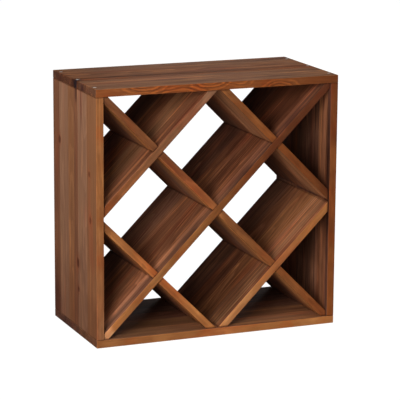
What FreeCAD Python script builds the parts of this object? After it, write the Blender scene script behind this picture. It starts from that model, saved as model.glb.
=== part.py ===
import FreeCAD, Part
import os
import Sketcher

# Wine rack: an open cube frame of four glued pine panels, butt-jointed and screwed at the corners,
# with a diamond lattice of six boards that are halved into each other where they cross.
# Frame: origin at the middle of the underside, +X to the right, +Y to the back, +Z up. Millimetres.

SIZES = [
    ("rack_width", 500, "outside width"),
    ("rack_height", 500, "outside height"),
    ("rack_depth", 250, "outside depth, front to back"),
    ("panel_thickness", 15, "thickness of the four frame panels"),
    ("panel_rounding", 1, "radius of the sanded edges of the frame panels"),
    ("board_thickness", 14, "thickness of the lattice boards"),
    ("board_setback", 4, "how far the lattice stands behind the front and back edges"),
    ("board_rounding", 1, "radius of the sanded front and back edges of the lattice boards"),
    ("short_board_shift", 1.3, "short boards' inner faces, out from the line between panel middles"),
    ("slot_clearance", 0.2, "play of the halving slots, across their width and at their ends"),
    ("screw_length", 40, "countersunk wood screw, overall"),
    ("screw_diameter", 3.5, "shank"),
    ("head_diameter", 7, "countersunk head"),
    ("head_rim", 0.4, "straight rim of the head above its cone"),
    ("head_sink", 0.3, "head below the panel's face"),
    ("recess_span", 3.8, "cross recess, tip to tip"),
    ("recess_width", 0.9, "cross recess, width of one arm"),
    ("recess_depth", 1.6, "cross recess, depth"),
    ("point_length", 6, "tapered point of the screw"),
    ("point_flat", 0.4, "diameter left at the tip of the point"),
    ("hole_clearance", 0.05, "all round the screw in its hole"),
    ("screw_edge_distance", 27, "outer screws, in from the front and back edges"),
]

doc = FreeCAD.newDocument("WineRack")
sheet = doc.addObject("Spreadsheet::Sheet", "Sizes")
for row, (alias, number, note) in enumerate(SIZES, start=1):
    sheet.set(f"A{row}", alias)
    sheet.set(f"B{row}", str(number))
    sheet.setAlias(f"B{row}", alias)
    sheet.set(f"C{row}", note)
doc.recompute()

# Lengths that several pieces share, as expressions on the sheet.
opening_width = "(Sizes.rack_width - 2 * Sizes.panel_thickness)"
opening_height = "(Sizes.rack_height - 2 * Sizes.panel_thickness)"
opening_diagonal = f"sqrt({opening_width} ^ 2 + {opening_height} ^ 2)"
board_width = "(Sizes.rack_depth - 2 * Sizes.board_setback)"
hole_diameter = "(Sizes.screw_diameter + 2 * Sizes.hole_clearance)"
head_height = "((Sizes.head_diameter - Sizes.screw_diameter) / 2 + Sizes.head_rim)"
screw_rows = (-1, 0, 1)


def value(expression):
    """The number that an expression gives with the present sizes."""
    result = sheet.evalExpression(expression)
    return float(getattr(result, "Value", result))


def bind(thing, **properties):
    """Bind properties of an object to expressions."""
    for name, expression in properties.items():
        thing.setExpression(name.replace("__", "."), expression)


def place(body, x="0", y="0", z="0"):
    """Put a body at a place worked out from the sheet."""
    bind(body, Placement__Base__x=x, Placement__Base__y=y, Placement__Base__z=z)


def new_body(name):
    body = doc.addObject("PartDesign::Body", name)
    body.Label = name
    return body


def new_sketch(body, role, name, offset=None):
    """A sketch on one of the body's own origin planes, moved along its normal by an expression."""
    sketch = body.newObject("Sketcher::SketchObject", f"{body.Name}_{name}")
    plane = next(item for item in body.Origin.OriginFeatures if item.Role == role)
    sketch.AttachmentSupport = [(plane, "")]
    sketch.MapMode = "FlatFace"
    if offset:
        bind(sketch, AttachmentOffset__Base__z=offset)
    return sketch


def constrain(sketch, kind, geometry, point, expression):
    """Fix one coordinate of a point, or a size, to an expression."""
    number = value(expression)
    if kind == "Diameter":
        constraint = Sketcher.Constraint(kind, geometry, number)
    else:
        constraint = Sketcher.Constraint(kind, geometry, point, number)
    index = sketch.addConstraint(constraint)
    bind(sketch, **{f"Constraints[{index}]": expression})


def add_outline(sketch, corners):
    """A closed polygon whose corners are pairs of expressions."""
    points = [FreeCAD.Vector(value(x), value(y), 0) for x, y in corners]
    count = len(points)
    first = sketch.GeometryCount
    for i in range(count):
        sketch.addGeometry(Part.LineSegment(points[i], points[(i + 1) % count]), False)
    for i in range(count):
        sketch.addConstraint(Sketcher.Constraint("Coincident", first + i, 2, first + (i + 1) % count, 1))
    for i, (x, y) in enumerate(corners):
        constrain(sketch, "DistanceX", first + i, 1, x)
        constrain(sketch, "DistanceY", first + i, 1, y)


def add_circle(sketch, x, y, diameter):
    """A circle with its centre and diameter given as expressions."""
    centre = FreeCAD.Vector(value(x), value(y), 0)
    circle = Part.Circle(centre, FreeCAD.Vector(0, 0, 1), value(diameter) / 2)
    geometry = sketch.addGeometry(circle, False)
    constrain(sketch, "DistanceX", geometry, 3, x)
    constrain(sketch, "DistanceY", geometry, 3, y)
    constrain(sketch, "Diameter", geometry, 0, diameter)


def centred_rectangle(width, height):
    half_x = f"{width} / 2"
    half_y = f"{height} / 2"
    return [(f"-{half_x}", f"-{half_y}"), (half_x, f"-{half_y}"), (half_x, half_y), (f"-{half_x}", half_y)]


def pad(body, sketch, length, symmetric=False):
    feature = body.newObject("PartDesign::Pad", f"{body.Name}_pad")
    feature.Profile = sketch
    if symmetric:
        feature.SideType = "Symmetric"
    bind(feature, Length=length)
    doc.recompute()
    return feature


def pocket(body, sketch, name, length=None, reverse=False):
    """Cut a sketch's outline away, to a length or right through, and see that it did cut."""
    before = body.Shape.Volume
    feature = body.newObject("PartDesign::Pocket", f"{body.Name}_{name}")
    feature.Profile = sketch
    feature.Reversed = reverse
    if length:
        bind(feature, Length=length)
    else:
        feature.Type = "ThroughAll"
    doc.recompute()
    assert body.Shape.Volume < before - 0.01, f"{feature.Name} cuts nothing"
    return feature


def round_edges(body, base, radius, wanted=lambda edge: True):
    """Round the edges of the base feature that are wanted."""
    names = [f"Edge{i}" for i, edge in enumerate(base.Shape.Edges, start=1) if wanted(edge)]
    feature = body.newObject("PartDesign::Fillet", f"{body.Name}_rounding")
    feature.Base = (base, names)
    bind(feature, Radius=radius)
    doc.recompute()
    return feature


# Frame panels -------------------------------------------------------------------------------

def make_cap_panel(name, base_z, outward):
    """Top or bottom panel, over the full width, with countersunk screw holes along both ends.
    Outward is 1 for the top panel, whose screws go in from above, and -1 for the bottom one."""
    body = new_body(name)
    outline = new_sketch(body, "XY_Plane", "outline")
    add_outline(outline, centred_rectangle("Sizes.rack_width", "Sizes.rack_depth"))
    round_edges(body, pad(body, outline, "Sizes.panel_thickness"), "Sizes.panel_rounding")

    outer_face = "Sizes.panel_thickness" if outward > 0 else "0"
    holes = new_sketch(body, "XY_Plane", "screw_centres", outer_face)
    for side in (-1, 1):
        for place_in_row in screw_rows:
            add_circle(holes, screw_x(side), screw_y(place_in_row), hole_diameter)
    drilled = pocket(body, holes, "screw_holes", reverse=outward < 0)

    face_z = value(outer_face)
    rims = []
    for i, edge in enumerate(drilled.Shape.Edges, start=1):
        box = edge.BoundBox
        on_face = abs(box.ZMin - face_z) < 1e-6 and abs(box.ZMax - face_z) < 1e-6
        if on_face and abs(box.XLength - value(hole_diameter)) < 0.01:
            rims.append(f"Edge{i}")
    countersink = body.newObject("PartDesign::Chamfer", f"{body.Name}_countersinks")
    countersink.Base = (drilled, rims)
    sink = "Sizes.head_rim + Sizes.head_sink + Sizes.hole_clearance"
    bind(countersink, Size=f"(Sizes.head_diameter - Sizes.screw_diameter) / 2 + {sink}")
    place(body, z=base_z)
    return body


def make_side_panel(name, side):
    """Left or right panel, standing between the top and bottom ones, with a blind hole
    in its end grain for each screw."""
    body = new_body(name)
    outline = new_sketch(body, "XY_Plane", "outline")
    add_outline(outline, centred_rectangle("Sizes.panel_thickness", "Sizes.rack_depth"))
    round_edges(body, pad(body, outline, opening_height), "Sizes.panel_rounding")

    depth = "Sizes.screw_length + Sizes.head_sink - Sizes.panel_thickness + Sizes.hole_clearance"
    for end, height in (("lower", "0"), ("upper", opening_height)):
        holes = new_sketch(body, "XY_Plane", f"{end}_screw_centres", height)
        for place_in_row in screw_rows:
            add_circle(holes, "0", screw_y(place_in_row), hole_diameter)
        pocket(body, holes, f"{end}_screw_holes", length=depth, reverse=end == "lower")
    place(body, x=screw_x(side), z="Sizes.panel_thickness")
    return body


def screw_x(side):
    """Screws stand on the middle of the side panel's thickness."""
    return f"{side} * (Sizes.rack_width - Sizes.panel_thickness) / 2"


def screw_y(place_in_row):
    return f"{place_in_row} * (Sizes.rack_depth / 2 - Sizes.screw_edge_distance)"


# Corner screws ------------------------------------------------------------------------------

def make_screw(name, side, place_in_row, outward):
    """Countersunk wood screw with a cross recess, modelled head up with its face at the origin."""
    body = new_body(name)
    head = "Sizes.head_diameter / 2"
    shank = "Sizes.screw_diameter / 2"
    profile = new_sketch(body, "XZ_Plane", "profile")
    add_outline(profile, [
        ("0", "0"),
        (head, "0"),
        (head, "-Sizes.head_rim"),
        (shank, f"-{head_height}"),
        (shank, "Sizes.point_length - Sizes.screw_length"),
        ("Sizes.point_flat / 2", "-Sizes.screw_length"),
        ("0", "-Sizes.screw_length"),
    ])
    turned = body.newObject("PartDesign::Revolution", f"{body.Name}_turned")
    turned.Profile = profile
    turned.ReferenceAxis = (profile, ["V_Axis"])
    turned.Angle = 360
    doc.recompute()

    long_arm = "Sizes.recess_span / 2"
    half_arm = "Sizes.recess_width / 2"
    cross = []
    for sign_x, sign_y in ((1, 1), (-1, 1), (-1, -1), (1, -1)):
        tip_x = (f"{sign_x} * {long_arm}", f"{sign_y} * {half_arm}")
        inner = (f"{sign_x} * {half_arm}", f"{sign_y} * {half_arm}")
        tip_y = (f"{sign_x} * {half_arm}", f"{sign_y} * {long_arm}")
        corner = [tip_x, inner, tip_y]
        cross += corner if sign_x * sign_y > 0 else corner[::-1]
    recess = new_sketch(body, "XY_Plane", "cross_recess")
    add_outline(recess, cross)
    pocket(body, recess, "recess", length="Sizes.recess_depth")

    if outward > 0:
        face_z = "Sizes.rack_height - Sizes.head_sink"
    else:
        face_z = "Sizes.head_sink"
        body.Placement.Rotation = FreeCAD.Rotation(FreeCAD.Vector(1, 0, 0), 180)
    place(body, x=screw_x(side), y=screw_y(place_in_row), z=face_z)
    return body


# Diamond lattice ----------------------------------------------------------------------------
# The long boards lie on the diagonals of the opening and the short ones are parallel to them.
# Sketches show the lattice from the front, with the middle of the opening as their origin.
# A board of some thickness covers this much of a level or an upright line that it crosses:

def level_share(thickness):
    return f"({thickness}) * {opening_diagonal} / {opening_height}"


def upright_share(thickness):
    return f"({thickness}) * {opening_diagonal} / {opening_width}"


def long_outline(lean):
    """Outline of a long board, pointed to fit two corners of the opening."""
    half_x = f"{opening_width} / 2"
    half_y = f"{opening_height} / 2"
    back_x = level_share("Sizes.board_thickness / 2")
    back_y = upright_share("Sizes.board_thickness / 2")
    return [
        (f"{lean} * {half_x}", half_y),
        (f"{lean} * ({half_x} - {back_x})", half_y),
        (f"{-lean} * {half_x}", f"{back_y} - {half_y}"),
        (f"{-lean} * {half_x}", f"-{half_y}"),
        (f"{-lean} * ({half_x} - {back_x})", f"-{half_y}"),
        (f"{lean} * {half_x}", f"{half_y} - {back_y}"),
    ]


def short_outline(side, level):
    """Outline of a short board across one corner, side and level being the corner's signs."""
    inner = "Sizes.short_board_shift"
    outer = "Sizes.short_board_shift + Sizes.board_thickness"
    wall = f"{side} * {opening_width} / 2"
    cap = f"{level} * {opening_height} / 2"
    return [
        (wall, f"{level} * {upright_share(inner)}"),
        (wall, f"{level} * {upright_share(outer)}"),
        (f"{side} * {level_share(outer)}", cap),
        (f"{side} * {level_share(inner)}", cap),
    ]


def crossing(side, level):
    """Where a short board's middle line crosses a diagonal, or the middle of the opening."""
    shift = "(Sizes.short_board_shift + Sizes.board_thickness / 2)"
    x = f"{side} * ({opening_width} / 4 + {level_share(shift)} / 2)"
    y = f"{level} * ({opening_height} / 4 + {upright_share(shift)} / 2)"
    return x, y


def slot_outline(lean, centre):
    """Outline of the slot that a board with this lean needs for one that leans the other way.
    It is as wide as the other board and its play, and cuts past both faces of its own board."""
    along_x = level_share("(Sizes.board_thickness + Sizes.slot_clearance) / 4")
    along_y = upright_share("(Sizes.board_thickness + Sizes.slot_clearance) / 4")
    across_x = level_share("Sizes.board_thickness / 2")
    across_y = upright_share("Sizes.board_thickness / 2")
    x, y = centre
    corners = []
    for along, across in ((1, 1), (-1, 1), (-1, -1), (1, -1)):
        corner_x = f"{x} + {along * lean} * {along_x} - {across * lean} * {across_x}"
        corner_y = f"{y} + {along} * {along_y} + {across} * {across_y}"
        corners.append((corner_x, corner_y))
    return corners


def make_lattice_board(name, lean, outline, crossings):
    """Lean is 1 for a board that rises to the right, which is slotted from the back,
    and -1 for one that falls to the right, which is slotted from the front."""
    body = new_body(name)
    front_view = new_sketch(body, "XZ_Plane", "outline")
    add_outline(front_view, outline)
    board = pad(body, front_view, board_width, symmetric=True)
    round_edges(body, board, "Sizes.board_rounding", lambda edge: edge.BoundBox.YLength < 1e-6)

    slots = new_sketch(body, "XZ_Plane", "slots", f"{lean} * Sizes.slot_clearance / 2")
    for centre in crossings:
        add_outline(slots, slot_outline(lean, centre))
    pocket(body, slots, "slots", reverse=lean < 0)
    place(body, z="Sizes.rack_height / 2")
    return body


parts = [
    make_cap_panel("bottom_panel", "0", -1),
    make_cap_panel("top_panel", "Sizes.rack_height - Sizes.panel_thickness", 1),
    make_side_panel("left_side_panel", -1),
    make_side_panel("right_side_panel", 1),
]

middle = ("0", "0")
for lean, family in ((1, "rising"), (-1, "falling")):
    met = [crossing(-lean, -1), middle, crossing(lean, 1)]
    parts.append(make_lattice_board(f"long_{family}_board", lean, long_outline(lean), met))
    for level, place_name in ((1, "upper"), (-1, "lower")):
        side = -lean * level
        outline = short_outline(side, level)
        met = [crossing(side, level)]
        parts.append(make_lattice_board(f"{place_name}_short_{family}_board", lean, outline, met))

for outward, cap in ((1, "top"), (-1, "bottom")):
    for side, side_name in ((-1, "left"), (1, "right")):
        for place_in_row, row_name in zip(screw_rows, ("front", "middle", "back")):
            name = f"{cap}_{side_name}_{row_name}_screw"
            parts.append(make_screw(name, side, place_in_row, outward))

doc.recompute()
for thing in doc.Objects:
    assert not {"Invalid", "Error"} & set(thing.State), f"{thing.Name} failed: {thing.State}"

os.makedirs("parts", exist_ok=True)
for body in parts:
    shape = body.Shape
    assert not shape.isNull() and shape.isValid(), f"{body.Label} has no valid shape"
    shape.exportStep(os.path.join("parts", f"{body.Label}.step"))
    box = shape.BoundBox
    print(f"{body.Label}: {len(shape.Solids)} solid, {shape.Volume / 1000:.2f} cm3, "
          f"x {box.XMin:.2f} {box.XMax:.2f}, y {box.YMin:.2f} {box.YMax:.2f}, z {box.ZMin:.2f} {box.ZMax:.2f}")
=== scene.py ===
from math import cos, radians, sin

import bpy
from mathutils import Matrix, Vector


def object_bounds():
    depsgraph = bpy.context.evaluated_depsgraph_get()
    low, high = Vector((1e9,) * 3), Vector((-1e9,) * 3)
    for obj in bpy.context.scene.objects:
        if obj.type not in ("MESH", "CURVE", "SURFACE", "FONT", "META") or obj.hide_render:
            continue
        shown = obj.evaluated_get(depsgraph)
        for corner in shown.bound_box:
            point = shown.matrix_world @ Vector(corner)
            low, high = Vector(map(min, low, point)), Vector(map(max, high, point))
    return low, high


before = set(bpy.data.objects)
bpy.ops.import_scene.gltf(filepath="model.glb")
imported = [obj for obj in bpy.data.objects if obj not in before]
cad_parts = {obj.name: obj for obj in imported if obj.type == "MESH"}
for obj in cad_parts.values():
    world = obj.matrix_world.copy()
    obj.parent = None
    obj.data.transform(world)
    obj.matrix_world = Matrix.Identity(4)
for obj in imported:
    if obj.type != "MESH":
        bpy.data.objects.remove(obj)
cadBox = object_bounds()
print("frame loaded")


viewpoint = {
    "aim": (0.0124, 0.0, -0.0064),  # from the middle of the rack
    "distance": 4.171,
    "azimuth": -22.55,  # degrees round from the front
    "elevation": 12.65,
    "roll": 0.38,
    "lens": 189.49,
    "sensor": 36,
    "nearest": 0.1,
    "farthest": 60,
}


def setCamera():
    turn = radians(viewpoint["azimuth"])
    lift = radians(viewpoint["elevation"])
    back = Vector((sin(turn) * cos(lift), -cos(turn) * cos(lift), sin(lift)))
    aim = (cadBox[0] + cadBox[1]) / 2 + Vector(viewpoint["aim"])
    data = bpy.data.cameras.new("camera")
    data.sensor_width = viewpoint["sensor"]
    data.lens = viewpoint["lens"]
    data.clip_start = viewpoint["nearest"]
    data.clip_end = viewpoint["farthest"]
    camera = bpy.data.objects.new("camera", data)
    bpy.context.collection.objects.link(camera)
    look = (-back).to_track_quat("-Z", "Y").to_matrix()
    look = look @ Matrix.Rotation(radians(viewpoint["roll"]), 3, "Z")
    camera.matrix_world = Matrix.Translation(aim + back * viewpoint["distance"]) @ look.to_4x4()
    bpy.context.scene.camera = camera


setCamera()
print("camera set")


class Wire:
    # a socket in a material, so that sums on it can be written out
    def __init__(self, tree, socket=None):
        self.tree = tree
        self.socket = socket

    def node(self, kind, settings, values, output=0):
        # any node: its settings first, then the values or links of its sockets
        made = self.tree.nodes.new(kind)
        for name, value in settings.items():
            if name == "stops":
                fillRamp(made.color_ramp, value)
            elif name == "interpolation":
                made.color_ramp.interpolation = value
            else:
                setattr(made, name, value)
        for name, value in values.items():
            if isinstance(value, Wire):
                self.tree.links.new(value.socket, made.inputs[name])
            else:
                made.inputs[name].default_value = value
        return Wire(self.tree, made.outputs[output] if len(made.outputs) else None)

    def maths(self, operation, *values):
        return self.node("ShaderNodeMath", {"operation": operation}, dict(enumerate(values)))

    def __add__(self, other):
        return self.maths("ADD", self, other)

    def __radd__(self, other):
        return self.maths("ADD", other, self)

    def __sub__(self, other):
        return self.maths("SUBTRACT", self, other)

    def __rsub__(self, other):
        return self.maths("SUBTRACT", other, self)

    def __mul__(self, other):
        return self.maths("MULTIPLY", self, other)

    def __rmul__(self, other):
        return self.maths("MULTIPLY", other, self)

    def __truediv__(self, other):
        return self.maths("DIVIDE", self, other)

    def __rtruediv__(self, other):
        return self.maths("DIVIDE", other, self)

    def __abs__(self):
        return self.maths("ABSOLUTE", self)

    def step(self, low, high, full=1.0):
        # a smooth change from nothing to full as the value goes from low to high
        return self.node(
            "ShaderNodeMapRange",
            {"interpolation_type": "SMOOTHSTEP"},
            {"Value": self, "From Min": low, "From Max": high, "To Min": 0.0, "To Max": full},
        )

    def noise(self, place, detail, rough=0.5, scale=1.0):
        values = {"Vector": place, "Scale": scale, "Detail": detail, "Roughness": rough}
        return self.node("ShaderNodeTexNoise", {}, values)

    def joined(self, x, y, z):
        return self.node("ShaderNodeCombineXYZ", {}, {0: x, 1: y, 2: z})

    def parted(self, vector):
        return [self.node("ShaderNodeSeparateXYZ", {}, {0: vector}, part) for part in range(3)]

    def blend(self, share, first, second, kind="MIX"):
        settings = {"data_type": "RGBA", "blend_type": kind, "clamp_factor": True}
        return self.node("ShaderNodeMix", settings, {0: share, 6: first, 7: second}, 2)

    def ramp(self, kind, stops):
        return self.node("ShaderNodeValToRGB", {"interpolation": kind, "stops": stops}, {0: self})


def fillRamp(ramp, stops):
    while len(ramp.elements) < len(stops):
        ramp.elements.new(1.0)
    for element, (place, colour) in zip(ramp.elements, stops):
        element.position = place
        element.color = colour


def opaque(colour):
    return (colour[0], colour[1], colour[2], 1.0)


def tinted(colour, share, tint):
    return colour.blend(share, colour, opaque(tint), "MULTIPLY")


def newMaterial(name):
    material = bpy.data.materials.new(name)
    material.use_nodes = True
    material.node_tree.nodes.clear()
    return material, Wire(material.node_tree)


# the tones of stained pine, from the palest stave to the darkest
stains = {
    "wheat": (0.530, 0.225, 0.085),
    "straw": (0.460, 0.180, 0.056),
    "honey": (0.370, 0.148, 0.048),
    "driftwood": (0.290, 0.142, 0.080),
    "tan": (0.275, 0.116, 0.050),
    "sand": (0.260, 0.120, 0.060),
    "amber": (0.290, 0.108, 0.034),
    "olive": (0.215, 0.100, 0.048),
    "rust": (0.250, 0.073, 0.018),
    "auburn": (0.225, 0.080, 0.028),
    "russet": (0.235, 0.076, 0.022),
    "chestnut": (0.205, 0.081, 0.040),
    "walnut": (0.168, 0.075, 0.045),
    "mahogany": (0.175, 0.052, 0.015),
    "cocoa": (0.122, 0.056, 0.038),
    "ember": (0.125, 0.036, 0.015),
    "umber": (0.100, 0.041, 0.027),
}

# how a stave was cut from the log: the heart's place across the stave and behind its face, and its lean
cuts = {
    "flat": (0.000, -0.036, 0.055),
    "slope": (0.018, -0.045, -0.050),
    "rift": (0.050, -0.040, 0.030),
    "quarter": (0.095, -0.004, 0.020),
    "heart": (0.004, -0.016, -0.022),
}

heartRange = 0.4  # the ramps of the staves hold places from -0.2 to 0.2 m

# how far each pattern is stretched along, across and through the wood, its detail and its roughness
patterns = {
    "slow": (1.6, 7.0, 7.0, 1.0, 0.5),
    "waves": (8.0, 34.0, 34.0, 2.0, 0.55),
    "bands": (1.4, 48.0, 48.0, 2.0, 0.5),
    "streaks": (3.4, 210.0, 210.0, 3.0, 0.65),
    "fibres": (18.0, 420.0, 420.0, 4.0, 0.7),
    "clouds": (8.0, 17.0, 17.0, 3.0, 0.6),  # where the stain took unevenly
    "figure": (26.0, 30.0, 85.0, 3.0, 0.6),  # short curls on the front and back edges
    "blotch": (19.0, 20.0, 45.0, 2.0, 0.5),
    "hue": (5.0, 30.0, 30.0, 2.0, 0.5),
    "lines": (2.2, 230.0, 60.0, 1.0, 0.4),
    "rub": (40.0, 60.0, 60.0, 2.0, 0.5),
}

# the middle of each pattern, and its share in how light or dark the wood is
faceGrain = {
    "rings": (0.35, 0.42),
    "bands": (0.5, 0.55),
    "streaks": (0.5, 0.55),
    "fibres": (0.5, 0.55),
    "clouds": (0.5, 0.55),
}
edgeGrain = {
    "rings": (0.4, 0.5),
    "streaks": (0.5, 0.7),
    "fibres": (0.5, 0.4),
    "figure": (0.5, 0.9),
}

# where each mark begins, where it is full, and how strong it is unless the piece says
fades = {
    "onEnd": (0.75, 0.95),
    "onEdge": (0.50, 0.85),
    "onFace": (0.50, 0.90),
    "edgeRed": (0.53, 0.68),
    "edgeGold": (0.47, 0.32),
    "red": (0.54, 0.72, 0.7),
    "green": (0.46, 0.28, 0.6),
    "lineGroup": (0.42, 0.58),
    "glint": (0.585, 0.635),
    "vein": (0.405, 0.360),
    "knotPull": (2.6, 0.0),
    "knotHalo": (2.3, 1.0, 0.7),
    "knotCore": (1.05, 0.55, 0.9),
    "patch": (1.1, 0.3),
    "edgePatch": (1.1, 0.6),
    "flame": (2.6, 1.4),
    "flameDark": (0.45, 0.10),
    "flameLight": (0.25, 0.06),
    "faceSeamAndShadow": (0.0035, 0.0005, 0.75),  # metres from here on
    "edgeSeamAndShadow": (0.0032, 0.0012, 0.85),
    "frameSeamAndShadow": (0.0036, 0.0012, 0.85),
    "panelSeamAndShadow": (0.0026, 0.0008, 0.8),
    "wornAndHighlit": (0.0020, 0.0004, 0.55),
}

pine = {
    "staveShift": 37.0,  # sets the grain of neighbouring staves apart
    "ringGap": 0.0042,
    "ringBend": 0.026,  # how far slow waves push the rings about
    "ringWaver": 0.0104,  # and how far short ones do
    # from one ring to the next: place, and how pale the wood is there
    "ringProfile": ((0.0, 0.9), (0.12, 0.1), (0.55, 0.3), (1.0, 1.0)),
    "ringFaintest": 0.25,  # of a full ring
    "knotLength": 1.5,  # times its width
    "knotDepth": 0.2,
    "knotPull": 1.1,  # how far the rings bend round it, times its size
    "knotFray": 0.8,
    "contrast": 1.0,
    "edgeContrast": 0.65,
    "dark": (0.34, 0.25, 0.22),
    "light": (1.66, 1.67, 1.62),
    "edgeDark": (0.40, 0.33, 0.32),
    "edgeLight": (1.60, 1.52, 1.34),
    "edgeShade": 0.74,  # the edges darkened against the stronger light they catch: painted shade
    "red": (1.12, 0.84, 0.80),
    "green": (0.98, 1.03, 0.94),
    "edgeRed": (1.02, 0.86, 0.76),
    "edgeGold": (1.14, 1.23, 1.30),
    "glint": (1.60, 1.48, 1.24),
    "vein": (0.66, 0.58, 0.56),
    "knotHalo": (1.05, 0.88, 0.80),
    "knotCore": (0.42, 0.30, 0.27),
    "patchFray": (1.2, 0.8),  # by the clouds and by the streaks
    "lineWaver": 0.004,
    "flame": (1.75, 1.70, 1.50),
    "flameRise": 0.009,
    "flameFray": 1.2,
    "flameArcs": 1.5,  # in each half width
    "flameMiddle": 0.75,  # where an arc is palest
    "edgePatchFray": 0.8,
    "endGrain": (0.62, 0.56, 0.58),
    # darker seams: stain gathered in the joints and painted contact shadow
    "seamAndShadow": (0.42, 0.36, 0.34),
    # lighter arrises: rubbed wear and painted highlight
    "wornAndHighlit": (1.22, 1.15, 1.02),
    "rubWaver": 0.004,
    "ringHeight": 0.35,
    "fibreHeight": 0.65,
    "bump": 0.3,
    "bumpHeight": 0.0004,
    "roughness": 0.52,
    "cloudRoughness": 0.2,
    "ringPolish": 0.06,
    "wornPolish": 0.08,
    "shine": 0.17,
    "coat": 0.04,  # a thin satin varnish
    "coatRoughness": 0.35,
}


def grainBox(node, turn):
    # the node's middle and half size along its grain, across its staves and through its thickness
    turned = Matrix.Rotation(radians(turn), 3, "Y")
    points = [turned @ vertex.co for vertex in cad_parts[node].data.vertices]
    low = Vector([min(point[axis] for point in points) for axis in range(3)])
    high = Vector([max(point[axis] for point in points) for axis in range(3)])
    return (low + high) / 2, (high - low) / 2


def staveStops(piece, depth):
    # stops over the depth: the stain of each stave, and its cut with its number in alpha
    tones = []
    places = []
    staves = piece["staves"]
    for index, (begin, stain, cut) in enumerate(staves):
        end = staves[index + 1][0] if index + 1 < len(staves) else depth
        across, behind, lean = cuts[cut]
        side = -1 if index % 2 else 1
        across = (begin + end) / 2 - depth / 2 + across * side
        heart = (across / heartRange + 0.5, behind / heartRange + 0.5, lean * side + 0.5, index / 10)
        tones.append((begin / depth, opaque(stains[stain])))
        places.append((begin / depth, heart))
    return tones, places


def edgeStops(piece):
    # stops along the front and back edges, from one stain to the next
    last = len(piece["edge"]) - 1
    stops = []
    for index, stain in enumerate(piece["edge"]):
        # edge stains darkened by edgeShade: painted shade against the stronger light on the edges
        shaded = [part * pine["edgeShade"] for part in stains[stain]]
        stops.append((index / last, opaque(shaded)))
    return stops


def pattern(name, axes, offsets):
    *stretches, detail, rough = patterns[name]
    moved = [axis * stretch + offset for axis, stretch, offset in zip(axes, stretches, offsets)]
    return axes[0].noise(axes[0].joined(*moved), detail, rough)


def spot(laid, where, size):
    # distance from the middle of an oval patch, 1 at its rim
    values = {"Vector": laid, "Location": where, "Scale": size}
    placed = laid.node("ShaderNodeMapping", {"vector_type": "TEXTURE"}, values)
    return laid.node("ShaderNodeVectorMath", {"operation": "LENGTH"}, {0: placed}, "Value")


def layOut(start, node, piece):
    # a piece's axes along its grain, across its staves and through its thickness, and what lies on them
    middle, half = grainBox(node, piece["turn"])
    turned = (0.0, radians(piece["turn"]), 0.0)
    place = start.node("ShaderNodeTexCoord", {}, {}, "Object")
    facing = start.node("ShaderNodeTexCoord", {}, {}, "Normal")
    values = {"Vector": place, "Rotation": turned, "Location": tuple(-middle)}
    laid = start.node("ShaderNodeMapping", {"vector_type": "POINT"}, values)
    values = {"Vector": facing, "Rotation": turned}
    faced = start.node("ShaderNodeMapping", {"vector_type": "NORMAL"}, values)
    axes = start.parted(laid)
    endFacing, edgeFacing, flatFacing = start.parted(faced)

    # glued staves, each with its own stain and its own cut from the log
    tones, places = staveStops(piece, 2 * half.y)
    share = axes[1] / (2 * half.y) + 0.5
    heart = share.ramp("CONSTANT", places)
    number = Wire(heart.tree, heart.socket.node.outputs["Alpha"])
    shift = number * pine["staveShift"] + piece["seed"]

    wood = {
        "place": place,
        "laid": laid,
        "half": half,
        "axes": axes,
        "onEnd": abs(endFacing).step(*fades["onEnd"]),
        "onEdge": abs(edgeFacing).step(*fades["onEdge"]),
        "onFace": abs(flatFacing).step(*fades["onFace"]),
        "stain": share.ramp("CONSTANT", tones),
        "heart": start.parted(heart),
        "shift": shift,
        "slow": pattern("slow", axes, (shift, piece["seed"], 0.0)),
        "clouds": pattern("clouds", axes, (shift, 0.0, piece["seed"])),
        "hue": pattern("hue", axes, (shift, 4.0, 0.0)),
    }
    for name in ("waves", "bands", "streaks", "fibres", "figure", "blotch", "rub"):
        wood[name] = pattern(name, axes, (shift, 0.0, 0.0))
    return wood


def addRings(start, wood, piece):
    # growth rings round the heart of the log, pushed about by waves and by knots
    along, across, through = wood["axes"]
    heartAcross, heartThrough, lean = wood["heart"]
    sideways = across - (heartAcross - 0.5) * heartRange + (wood["slow"] - 0.5) * pine["ringBend"]
    deep = through - (heartThrough - 0.5) * heartRange - (lean - 0.5) * along
    reach = start.maths("SQRT", sideways * sideways + deep * deep)
    reach = reach + (wood["waves"] - 0.5) * pine["ringWaver"]
    wood["knots"] = []
    for where, size in piece.get("knots", ()):
        oval = (size * pine["knotLength"], size, pine["knotDepth"])
        knot = spot(wood["laid"], (where[0], where[1], 0.0), oval)
        reach = reach + knot.step(*fades["knotPull"]) * (size * pine["knotPull"])
        wood["knots"].append(knot)
    ring = reach / pine["ringGap"]
    number = start.maths("FLOOR", ring) + wood["shift"]
    strength = start.node("ShaderNodeTexWhiteNoise", {"noise_dimensions": "1D"}, {"W": number})
    profile = [(place, opaque((shade,) * 3)) for place, shade in pine["ringProfile"]]
    rings = start.maths("FRACT", ring).ramp("LINEAR", profile)
    wood["rings"] = rings * (strength * (1.0 - pine["ringFaintest"]) + pine["ringFaintest"])
    wood["lines"] = pattern("lines", (along, sideways, deep), (wood["shift"], 0.0, 0.0))


def figured(wood, grain):
    total = 0.0
    for name, (middle, share) in grain.items():
        total = total + (wood[name] - middle) * share
    return total


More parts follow.
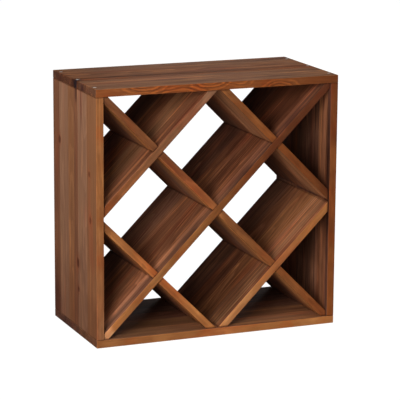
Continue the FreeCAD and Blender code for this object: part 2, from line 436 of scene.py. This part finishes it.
def grainColour(start, wood, piece):
    onEdge = wood["onEdge"]
    contrast = piece.get("contrast", pine["contrast"])
    faceFigure = figured(wood, faceGrain) * contrast
    edgeFigure = figured(wood, edgeGrain) * piece.get("edgeContrast", pine["edgeContrast"])
    lightness = onEdge * (edgeFigure - faceFigure) + faceFigure + 0.5
    share = wood["axes"][0] / (2 * wood["half"].x) + 0.5
    stain = start.blend(onEdge, wood["stain"], share.ramp("LINEAR", edgeStops(piece)))
    darkTint = start.blend(onEdge, opaque(pine["dark"]), opaque(pine["edgeDark"]))
    lightTint = start.blend(onEdge, opaque(pine["light"]), opaque(pine["edgeLight"]))
    darker = start.blend(1.0, stain, darkTint, "MULTIPLY")
    lighter = start.blend(1.0, stain, lightTint, "MULTIPLY")
    colour = start.blend(lightness, darker, lighter)

    # drifts towards red, gold and green
    colour = tinted(colour, wood["blotch"].step(*fades["edgeRed"]) * onEdge, pine["edgeRed"])
    colour = tinted(colour, wood["blotch"].step(*fades["edgeGold"]) * onEdge, pine["edgeGold"])
    colour = tinted(colour, wood["hue"].step(*fades["red"]), pine["red"])
    colour = tinted(colour, wood["hue"].step(*fades["green"]), pine["green"])

    # thin light and dark lines in the grain, in loose groups
    groups = wood["clouds"].step(*fades["lineGroup"]) * (1.0 - onEdge) * contrast
    colour = tinted(colour, wood["lines"].step(*fades["glint"]) * groups, pine["glint"])
    return tinted(colour, wood["lines"].step(*fades["vein"]) * groups, pine["vein"])


def addKnots(colour, wood):
    # a reddish halo round a dark core
    for knot in wood["knots"]:
        frayed = knot + (wood["fibres"] - 0.5) * pine["knotFray"]
        colour = tinted(colour, frayed.step(*fades["knotHalo"]), pine["knotHalo"])
        colour = tinted(colour, frayed.step(*fades["knotCore"]), pine["knotCore"])
    return colour


def addMarks(colour, wood, piece):
    # patches on the faces: some of other stain, some painted shade and painted light
    onEdge = wood["onEdge"]
    offEdge = 1.0 - onEdge
    cloudFray, streakFray = pine["patchFray"]
    fray = (wood["clouds"] - 0.5) * cloudFray + (wood["streaks"] - 0.5) * streakFray
    for where, size, tint, amount in piece.get("patches", ()):
        frayed = spot(wood["laid"], where, size) + fray
        colour = tinted(colour, frayed.step(*fades["patch"], amount) * offEdge, tint)

    # light and dark lines along a stave; the light ones are partly grain and partly painted highlight
    # where a stave edge catches the light
    waver = (wood["waves"] - 0.5) * pine["lineWaver"]
    for where, width, fade, tint, amount in piece.get("lines", ()):
        near = abs(wood["axes"][1] - where + waver).step(width + fade, width, amount)
        colour = tinted(colour, near * offEdge, tint)

    # flames where the grain runs out of a front or back edge
    for where, rise, size, amount in piece.get("flames", ()):
        off = spot(wood["laid"], (where, -wood["half"].y, rise), (size, 1.0, pine["flameRise"]))
        off = off + (wood["figure"] - 0.5) * pine["flameFray"]
        fade = off.step(*fades["flame"], amount) * onEdge
        arcs = colour.maths("FRACT", off * pine["flameArcs"])
        colour = tinted(colour, fade * arcs.step(*fades["flameDark"]), pine["vein"])
        light = abs(arcs - pine["flameMiddle"]).step(*fades["flameLight"])
        colour = tinted(colour, fade * light, pine["flame"])

    # patches on a front or back edge
    for where, size, tint, amount in piece.get("edgePatches", ()):
        frayed = spot(wood["laid"], where, size) + (wood["clouds"] - 0.5) * pine["edgePatchFray"]
        colour = tinted(colour, frayed.step(*fades["edgePatch"], amount) * onEdge, tint)
    return colour


def besideBoard(distance, fade):
    begin, full, amount = fade
    return distance.step(boardHalf + begin, boardHalf + full, amount)


def addSeamsAndContactShadow(colour, wood, piece):
    # darker where boards cross and where they meet the frame: stain gathered in the joints, and painted
    # contact shadow
    along = wood["axes"][0]
    for crossing in piece.get("crossings", ()):
        near = besideBoard(abs(along - crossing), fades["faceSeamAndShadow"]) * wood["onFace"]
        colour = tinted(colour, near, pine["seamAndShadow"])
    for crossing in piece.get("frontSlots", ()):
        colour = tinted(colour, besideBoard(abs(along - crossing), fades["edgeSeamAndShadow"]), pine["seamAndShadow"])
    if "crossings" in piece:
        sides = colour.parted(wood["place"])
        gap = colour.maths("MINIMUM", opening - abs(sides[0]), opening - abs(sides[2] - rackMiddle))
        colour = tinted(colour, gap.step(*fades["frameSeamAndShadow"]), pine["seamAndShadow"])
    elif piece["turn"] == upright:
        gap = wood["half"].x - abs(along)
        colour = tinted(colour, gap.step(*fades["panelSeamAndShadow"]), pine["seamAndShadow"])
    return colour


def rubbedAndHighlit(start, wood):
    # arrises rubbed a little by hands and bottles, and lightened there as a painted highlight, where
    # the second nearest side is close
    gaps = [half - abs(axis) for half, axis in zip(wood["half"], wood["axes"])]
    nearer = start.maths("MINIMUM", gaps[0], gaps[1])
    farther = start.maths("MAXIMUM", gaps[0], gaps[1])
    arris = start.maths("MAXIMUM", nearer, start.maths("MINIMUM", farther, gaps[2]))
    return (arris + (wood["rub"] - 0.5) * pine["rubWaver"]).step(*fades["wornAndHighlit"])


def stainedPine(node, piece):
    material, start = newMaterial(node)
    wood = layOut(start, node, piece)
    addRings(start, wood, piece)
    colour = grainColour(start, wood, piece)
    colour = addKnots(colour, wood)
    colour = addMarks(colour, wood, piece)
    colour = tinted(colour, wood["onEnd"], pine["endGrain"])  # end grain drinks more stain
    colour = addSeamsAndContactShadow(colour, wood, piece)
    wornAndHighlit = rubbedAndHighlit(start, wood)
    # lighter arrises: rubbed wear and a painted highlight where a rounded arris would catch the light
    colour = tinted(colour, wornAndHighlit, pine["wornAndHighlit"])
    height = wood["rings"] * pine["ringHeight"] + wood["fibres"] * pine["fibreHeight"]
    values = {"Strength": pine["bump"], "Distance": pine["bumpHeight"], "Height": height}
    bump = start.node("ShaderNodeBump", {}, values)
    rough = pine["roughness"] + (wood["clouds"] - 0.5) * pine["cloudRoughness"]
    rough = rough - wood["rings"] * pine["ringPolish"] - wornAndHighlit * pine["wornPolish"]
    values = {
        "Base Color": colour,
        "Roughness": rough,
        "Normal": bump,
        "Specular IOR Level": pine["shine"],
        "Coat Weight": pine["coat"],
        "Coat Roughness": pine["coatRoughness"],
    }
    shader = start.node("ShaderNodeBsdfPrincipled", {}, values)
    start.node("ShaderNodeOutputMaterial", {}, {"Surface": shader})
    return material


opening = 0.235  # half the inside width of the frame
rackMiddle = 0.25
apart = 0.1745  # between the middles of neighbouring lattice boards
boardHalf = 0.007
longCrossings = (-apart, 0.0, apart)
shortCrossings = (0.0,)

# the turns that lay the grain of a piece along x
level = 0.0
upright = 90.0
rising = 45.0
falling = -45.0

# All places and sizes are in metres from the middle of the piece: along, across and through it.
# staves: where each begins, its stain and its cut; edge: the stains along the front and back edges
# knots: place and size; patches and edgePatches: place, size, tint and strength
# lines: place across, half width, fade, tint and strength; flames: place, rise, size and strength
woodPieces = {
    "top_panel": {
        "turn": level,
        "seed": 3.1,
        "staves": (
            (0.000, "sand", "heart"),
            (0.050, "sand", "rift"),
            (0.100, "auburn", "rift"),
            (0.138, "tan", "flat"),
            (0.200, "sand", "slope"),
        ),
        "contrast": 1.35,
        "edge": ("rust", "rust", "mahogany"),
        "edgeContrast": 0.42,
        "flames": (
            (-0.150, 0.012, 0.026, 0.9),
            (-0.085, -0.012, 0.030, 0.8),
            (-0.020, 0.010, 0.022, 0.9),
            (0.040, 0.013, 0.018, 0.6),
            (0.125, -0.010, 0.022, 0.8),
        ),
        "patches": (
            ((-0.252, 0.060, 0.0), (0.012, 0.110, 0.04), (0.62, 0.58, 0.66), 0.9),
            ((-0.252, -0.010, 0.0), (0.024, 0.014, 0.03), (0.16, 0.26, 0.95), 1.0),
            ((-0.252, -0.047, 0.0), (0.010, 0.012, 0.02), (0.55, 0.45, 0.70), 0.8),
            ((-0.130, 0.004, 0.008), (0.150, 0.007, 0.01), (0.45, 0.40, 0.38), 0.85),
            ((0.010, -0.003, 0.008), (0.080, 0.005, 0.01), (0.55, 0.46, 0.42), 0.8),
            ((-0.080, 0.070, 0.008), (0.030, 0.008, 0.01), (1.35, 1.35, 1.35), 0.9),
            ((0.040, -0.077, 0.008), (0.060, 0.006, 0.01), (0.60, 0.50, 0.46), 0.8),
        ),
    },
    "bottom_panel": {
        "turn": level,
        "seed": 8.4,
        "staves": (
            (0.000, "sand", "quarter"),
            (0.050, "olive", "rift"),
            (0.100, "walnut", "slope"),
            (0.150, "cocoa", "flat"),
            (0.200, "walnut", "rift"),
        ),
        "edge": ("amber", "honey", "straw"),
        "edgeContrast": 0.4,
        "patches": (((0.130, -0.020, 0.008), (0.150, 0.160, 0.01), (1.30, 1.28, 1.30), 0.9),),
    },
    "left_side_panel": {
        "turn": upright,
        "seed": 12.7,
        "staves": (
            (0.000, "tan", "rift"),
            (0.052, "driftwood", "slope"),
            (0.104, "chestnut", "rift"),
            (0.126, "tan", "flat"),
            (0.160, "driftwood", "heart"),
            (0.212, "chestnut", "rift"),
        ),
        "contrast": 0.52,
        "edge": ("tan", "amber", "honey"),
        "knots": (
            ((0.119, 0.086), 0.007),
            ((0.082, -0.085), 0.005),
            ((-0.0065, -0.090), 0.006),
            ((-0.106, -0.0186), 0.008),
            ((-0.158, -0.022), 0.005),
        ),
        "patches": (
            ((0.228, -0.011, 0.0), (0.030, 0.006, 0.1), (0.35, 0.33, 0.45), 0.9),
            ((0.215, -0.040, 0.0), (0.070, 0.004, 0.1), (0.50, 0.42, 0.42), 0.8),
            ((-0.215, 0.105, 0.0), (0.070, 0.026, 0.1), (0.60, 0.48, 0.55), 0.8),
            # darker towards the bottom: painted shade; lighter and greyer towards the top: painted
            # light
            ((-0.260, 0.000, 0.0), (0.230, 0.400, 0.1), (0.64, 0.58, 0.58), 0.8),
            ((0.260, 0.000, 0.0), (0.160, 0.400, 0.1), (1.12, 1.15, 1.18), 0.8),
        ),
    },
    "right_side_panel": {
        "turn": upright,
        "seed": 17.2,
        "contrast": 1.3,
        "staves": (
            (0.000, "umber", "quarter"),
            (0.012, "chestnut", "rift"),
            (0.050, "walnut", "rift"),
            (0.100, "walnut", "flat"),
            (0.150, "chestnut", "slope"),
            (0.200, "walnut", "rift"),
        ),
        "edge": ("rust", "rust", "mahogany"),
        "patches": (  # on the inner face only: the dark patches are painted shadow, the two pale strips near the front painted light
            ((0.000, -0.050, 0.008), (0.110, 0.150, 0.010), (0.42, 0.38, 0.39), 0.95),
            ((-0.110, -0.040, 0.008), (0.090, 0.070, 0.010), (0.50, 0.47, 0.47), 0.95),
            ((0.170, 0.050, 0.008), (0.080, 0.080, 0.010), (0.48, 0.44, 0.46), 0.95),
            ((0.030, -0.120, 0.008), (0.160, 0.014, 0.010), (0.40, 0.38, 0.38), 0.95),
            ((-0.170, -0.112, 0.008), (0.070, 0.010, 0.010), (1.60, 1.60, 1.60), 0.9),
            ((0.170, -0.099, 0.008), (0.070, 0.008, 0.010), (1.50, 1.50, 1.50), 0.9),
        ),
    },
    "long_rising_board": {
        "turn": rising,
        "seed": 21.9,
        "contrast": 1.3,
        "staves": (
            (0.000, "walnut", "quarter"),
            (0.034, "chestnut", "slope"),
            (0.094, "chestnut", "rift"),
            (0.150, "walnut", "flat"),
        ),
        "edge": ("honey", "amber", "mahogany", "ember"),
        "crossings": longCrossings,
        "lines": (
            # a light line at the glue joint: painted highlight where the joint catches the light
            (-0.0930, 0.0040, 0.0060, (1.62, 1.50, 1.32), 1.0),
            (-0.0865, 0.0006, 0.0008, (0.62, 0.56, 0.54), 0.8),
            (-0.1180, 0.0006, 0.0012, (0.55, 0.48, 0.46), 0.8),
        ),
        "patches": (
            ((0.280, 0.000, 0.0), (0.250, 0.500, 0.1), (0.66, 0.58, 0.60), 0.9),
            # the next two patches are painted light: lighter and greyer at the low front end, and
            # lighter deeper in between the two lower crossings
            ((-0.290, -0.080, 0.0), (0.200, 0.090, 0.1), (1.75, 1.85, 1.90), 0.9),
            ((-0.087, 0.055, 0.0), (0.095, 0.065, 0.1), (1.90, 1.90, 1.90), 0.9),
        ),
        "edgePatches": (((-0.328, -0.121, 0.0), (0.026, 0.02, 0.04), (1.70, 2.30, 3.60), 1.0),),
    },
    "upper_short_rising_board": {
        "turn": rising,
        "seed": 26.3,
        "contrast": 1.3,
        "staves": (
            (0.000, "chestnut", "quarter"),
            (0.050, "sand", "rift"),
            (0.110, "chestnut", "flat"),
            (0.160, "walnut", "slope"),
        ),
        "edge": ("rust", "tan", "driftwood"),
        "crossings": shortCrossings,
        "lines": ((-0.0350, 0.0010, 0.0014, (1.40, 1.25, 1.05), 0.7),),
        "patches": (((0.080, -0.110, 0.0), (0.090, 0.016, 0.1), (1.25, 1.25, 1.30), 0.9),),
    },
    "lower_short_rising_board": {
        "turn": rising,
        "seed": 31.6,
        "contrast": 1.35,
        "staves": (
            (0.000, "chestnut", "quarter"),
            (0.012, "sand", "rift"),
            (0.062, "tan", "slope"),
            (0.120, "chestnut", "flat"),
            (0.170, "walnut", "rift"),
        ),
        "edge": ("wheat", "honey"),
        "crossings": shortCrossings,
        "lines": (
            (-0.0880, 0.0007, 0.0010, (1.75, 1.50, 1.15), 0.8),
            (-0.0760, 0.0008, 0.0010, (1.65, 1.42, 1.15), 0.8),
            (-0.0560, 0.0009, 0.0012, (1.50, 1.35, 1.15), 0.7),
        ),
        "patches": (
            # darker over the lower-left half: painted shade; the pale strip along the front of that
            # half: painted highlight
            ((-0.090, -0.020, 0.0), (0.125, 0.140, 0.1), (0.46, 0.42, 0.42), 0.95),
            ((-0.090, -0.120, 0.0), (0.090, 0.009, 0.1), (1.45, 1.50, 1.55), 0.9),
            ((0.110, -0.080, 0.0), (0.110, 0.060, 0.1), (1.28, 1.26, 1.25), 0.9),
        ),
    },
    "long_falling_board": {
        "turn": falling,
        "seed": 36.2,
        "lines": ((-0.1175, 0.0014, 0.0030, (0.62, 0.56, 0.56), 0.85),),
        "contrast": 1.2,
        "edgeContrast": 0.95,
        "staves": (
            (0.000, "honey", "quarter"),
            (0.030, "tan", "rift"),
            (0.076, "walnut", "flat"),
            (0.140, "chestnut", "slope"),
        ),
        "edge": ("auburn", "auburn", "amber", "russet"),
        "frontSlots": longCrossings,
        "crossings": longCrossings,
        "patches": (
            ((0.250, -0.010, 0.0), (0.120, 0.080, 0.1), (0.60, 0.56, 0.58), 0.9),
        ),
    },
    "upper_short_falling_board": {
        "turn": falling,
        "seed": 41.8,
        "lines": ((-0.1175, 0.0014, 0.0030, (0.62, 0.56, 0.56), 0.85),),
        "contrast": 1.2,
        "edgeContrast": 0.95,
        "staves": (
            (0.000, "tan", "quarter"),
            (0.034, "sand", "rift"),
            (0.090, "chestnut", "flat"),
            (0.150, "walnut", "slope"),
        ),
        "edge": ("amber", "rust", "mahogany"),
        "frontSlots": shortCrossings,
        "crossings": shortCrossings,
        "patches": (
            ((-0.090, -0.050, 0.0), (0.110, 0.060, 0.1), (1.60, 1.60, 1.60), 0.9),
            ((0.090, 0.020, 0.0), (0.100, 0.075, 0.1), (0.58, 0.55, 0.56), 0.9),
        ),
    },
    "lower_short_falling_board": {
        "turn": falling,
        "seed": 47.5,
        "lines": ((-0.1175, 0.0014, 0.0030, (0.62, 0.56, 0.56), 0.85),),
        "contrast": 1.2,
        "edgeContrast": 0.95,
        "staves": (
            (0.000, "amber", "quarter"),
            (0.040, "chestnut", "rift"),
            (0.100, "walnut", "flat"),
            (0.160, "walnut", "slope"),
        ),
        "edge": ("amber", "straw"),
        "frontSlots": shortCrossings,
        "crossings": shortCrossings,
    },
}

for name, piece in woodPieces.items():
    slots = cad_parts[name].data.materials
    for index in range(len(slots)):
        slots[index] = stainedPine(name, piece)
print("pine stained")


screws = {
    "colour": (0.90, 0.90, 0.87),
    "dull": 0.72,
    "dullScale": 160.0,
    "dullFade": (0.35, 0.7),
    "grainScale": 900.0,
    "metal": 0.35,
    "roughness": 0.42,
    "grainRoughness": 0.2,
    "bump": 0.2,
    "bumpHeight": 0.0001,
}


def zincPlate():
    material, start = newMaterial("zinc plate")
    place = start.node("ShaderNodeTexCoord", {}, {}, "Object")
    fine = start.noise(place, 3.0, scale=screws["grainScale"])
    broad = start.noise(place, 2.0, scale=screws["dullScale"])
    dull = [part * screws["dull"] for part in screws["colour"]]
    share = broad.step(*screws["dullFade"])
    values = {"Strength": screws["bump"], "Distance": screws["bumpHeight"], "Height": fine}
    bump = start.node("ShaderNodeBump", {}, values)
    values = {
        "Base Color": start.blend(share, opaque(screws["colour"]), opaque(dull)),
        "Metallic": screws["metal"],
        "Roughness": screws["roughness"] + (fine - 0.5) * screws["grainRoughness"],
        "Normal": bump,
    }
    shader = start.node("ShaderNodeBsdfPrincipled", {}, values)
    start.node("ShaderNodeOutputMaterial", {}, {"Surface": shader})
    return material


plated = zincPlate()
for name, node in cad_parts.items():
    if name.endswith("_screw"):
        slots = node.data.materials
        for index in range(len(slots)):
            slots[index] = plated
print("screws plated")


studio = {
    "floorRadius": 14.0,
    "floorSides": 96,
    "floorGap": 0.0005,  # under the rack
    "floorGlow": 1.0,
    "floorColour": (0.08, 0.08, 0.08),
    "around": 0.003,  # light from all sides, as a share of the white backdrop
    # place, size, power, and whether a light shows in the matt finish, in the gloss or in all
    "lights": {
        "key": ((-2.4, -2.6, 1.3), 1.7, 122.0, "matt"),
        "key sheen": ((-2.4, -2.6, 1.3), 1.7, 32.0, "gloss"),
        "front": ((-0.2, -3.2, 0.7), 2.6, 28.0, "all"),
        "bounce": ((-1.5, -1.9, -0.9), 2.0, 26.0, "all"),
        "overhead": ((-0.4, -0.5, 3.2), 2.2, 42.0, "all"),
        "rim": ((2.6, 2.6, 0.15), 1.6, 60.0, "matt"),
        "right": ((3.3, 0.2, 0.5), 1.2, 34.0, "all"),
        "top sheen": ((1.08, 2.6, 1.14), 0.7, 0.8, "gloss"),
        "side sheen": ((-2.1, 1.8, 0.05), 1.5, 3.0, "gloss"),
    },
}

white = opaque((1.0, 1.0, 1.0))


def makeFloor():
    bpy.ops.object.select_all(action="DESELECT")
    bpy.ops.mesh.primitive_circle_add(
        vertices=studio["floorSides"],
        radius=studio["floorRadius"],
        fill_type="NGON",
        location=(0, 0, cadBox[0].z - studio["floorGap"]),
    )
    floor = bpy.context.object
    floor.name = "floor"
    bpy.ops.object.transform_apply(location=True, rotation=True, scale=True)
    material, start = newMaterial("pale floor")
    matt = start.node("ShaderNodeBsdfDiffuse", {}, {"Color": opaque(studio["floorColour"])})
    glow = start.node("ShaderNodeEmission", {}, {"Color": white, "Strength": studio["floorGlow"]})
    both = start.node("ShaderNodeAddShader", {}, {0: matt, 1: glow})
    start.node("ShaderNodeOutputMaterial", {}, {"Surface": both})
    floor.data.materials.append(material)
    floor.visible_diffuse = False  # the white floor throws no light up into the rack
    floor.visible_glossy = False
    floor.visible_shadow = False  # and lets the light that stands for its bounce through


def softLight(name, where, size, power, lights):
    data = bpy.data.lights.new(name, "AREA")
    data.shape = "SQUARE"
    data.size = size
    data.energy = power
    light = bpy.data.objects.new(name, data)
    bpy.context.collection.objects.link(light)
    aim = (cadBox[0] + cadBox[1]) / 2
    turned = (aim - Vector(where)).to_track_quat("-Z", "Y").to_matrix().to_4x4()
    light.matrix_world = Matrix.Translation(where) @ turned
    light.visible_camera = False
    light.visible_diffuse = lights != "gloss"
    light.visible_glossy = lights != "matt"


def makeWorld():
    world = bpy.data.worlds.new("white studio")
    bpy.context.scene.world = world
    world.use_nodes = True
    world.node_tree.nodes.clear()
    start = Wire(world.node_tree)
    seen = start.node("ShaderNodeLightPath", {}, {}, "Is Camera Ray")
    strength = seen * (1.0 - studio["around"]) + studio["around"]
    sky = start.node("ShaderNodeBackground", {}, {"Color": white, "Strength": strength})
    start.node("ShaderNodeOutputWorld", {}, {"Surface": sky})


makeFloor()
makeWorld()
for name, (where, size, power, lights) in studio["lights"].items():
    softLight(name, where, size, power, lights)
view = bpy.context.scene.view_settings
view.view_transform = "Standard"
view.look = "None"
print("studio lit")
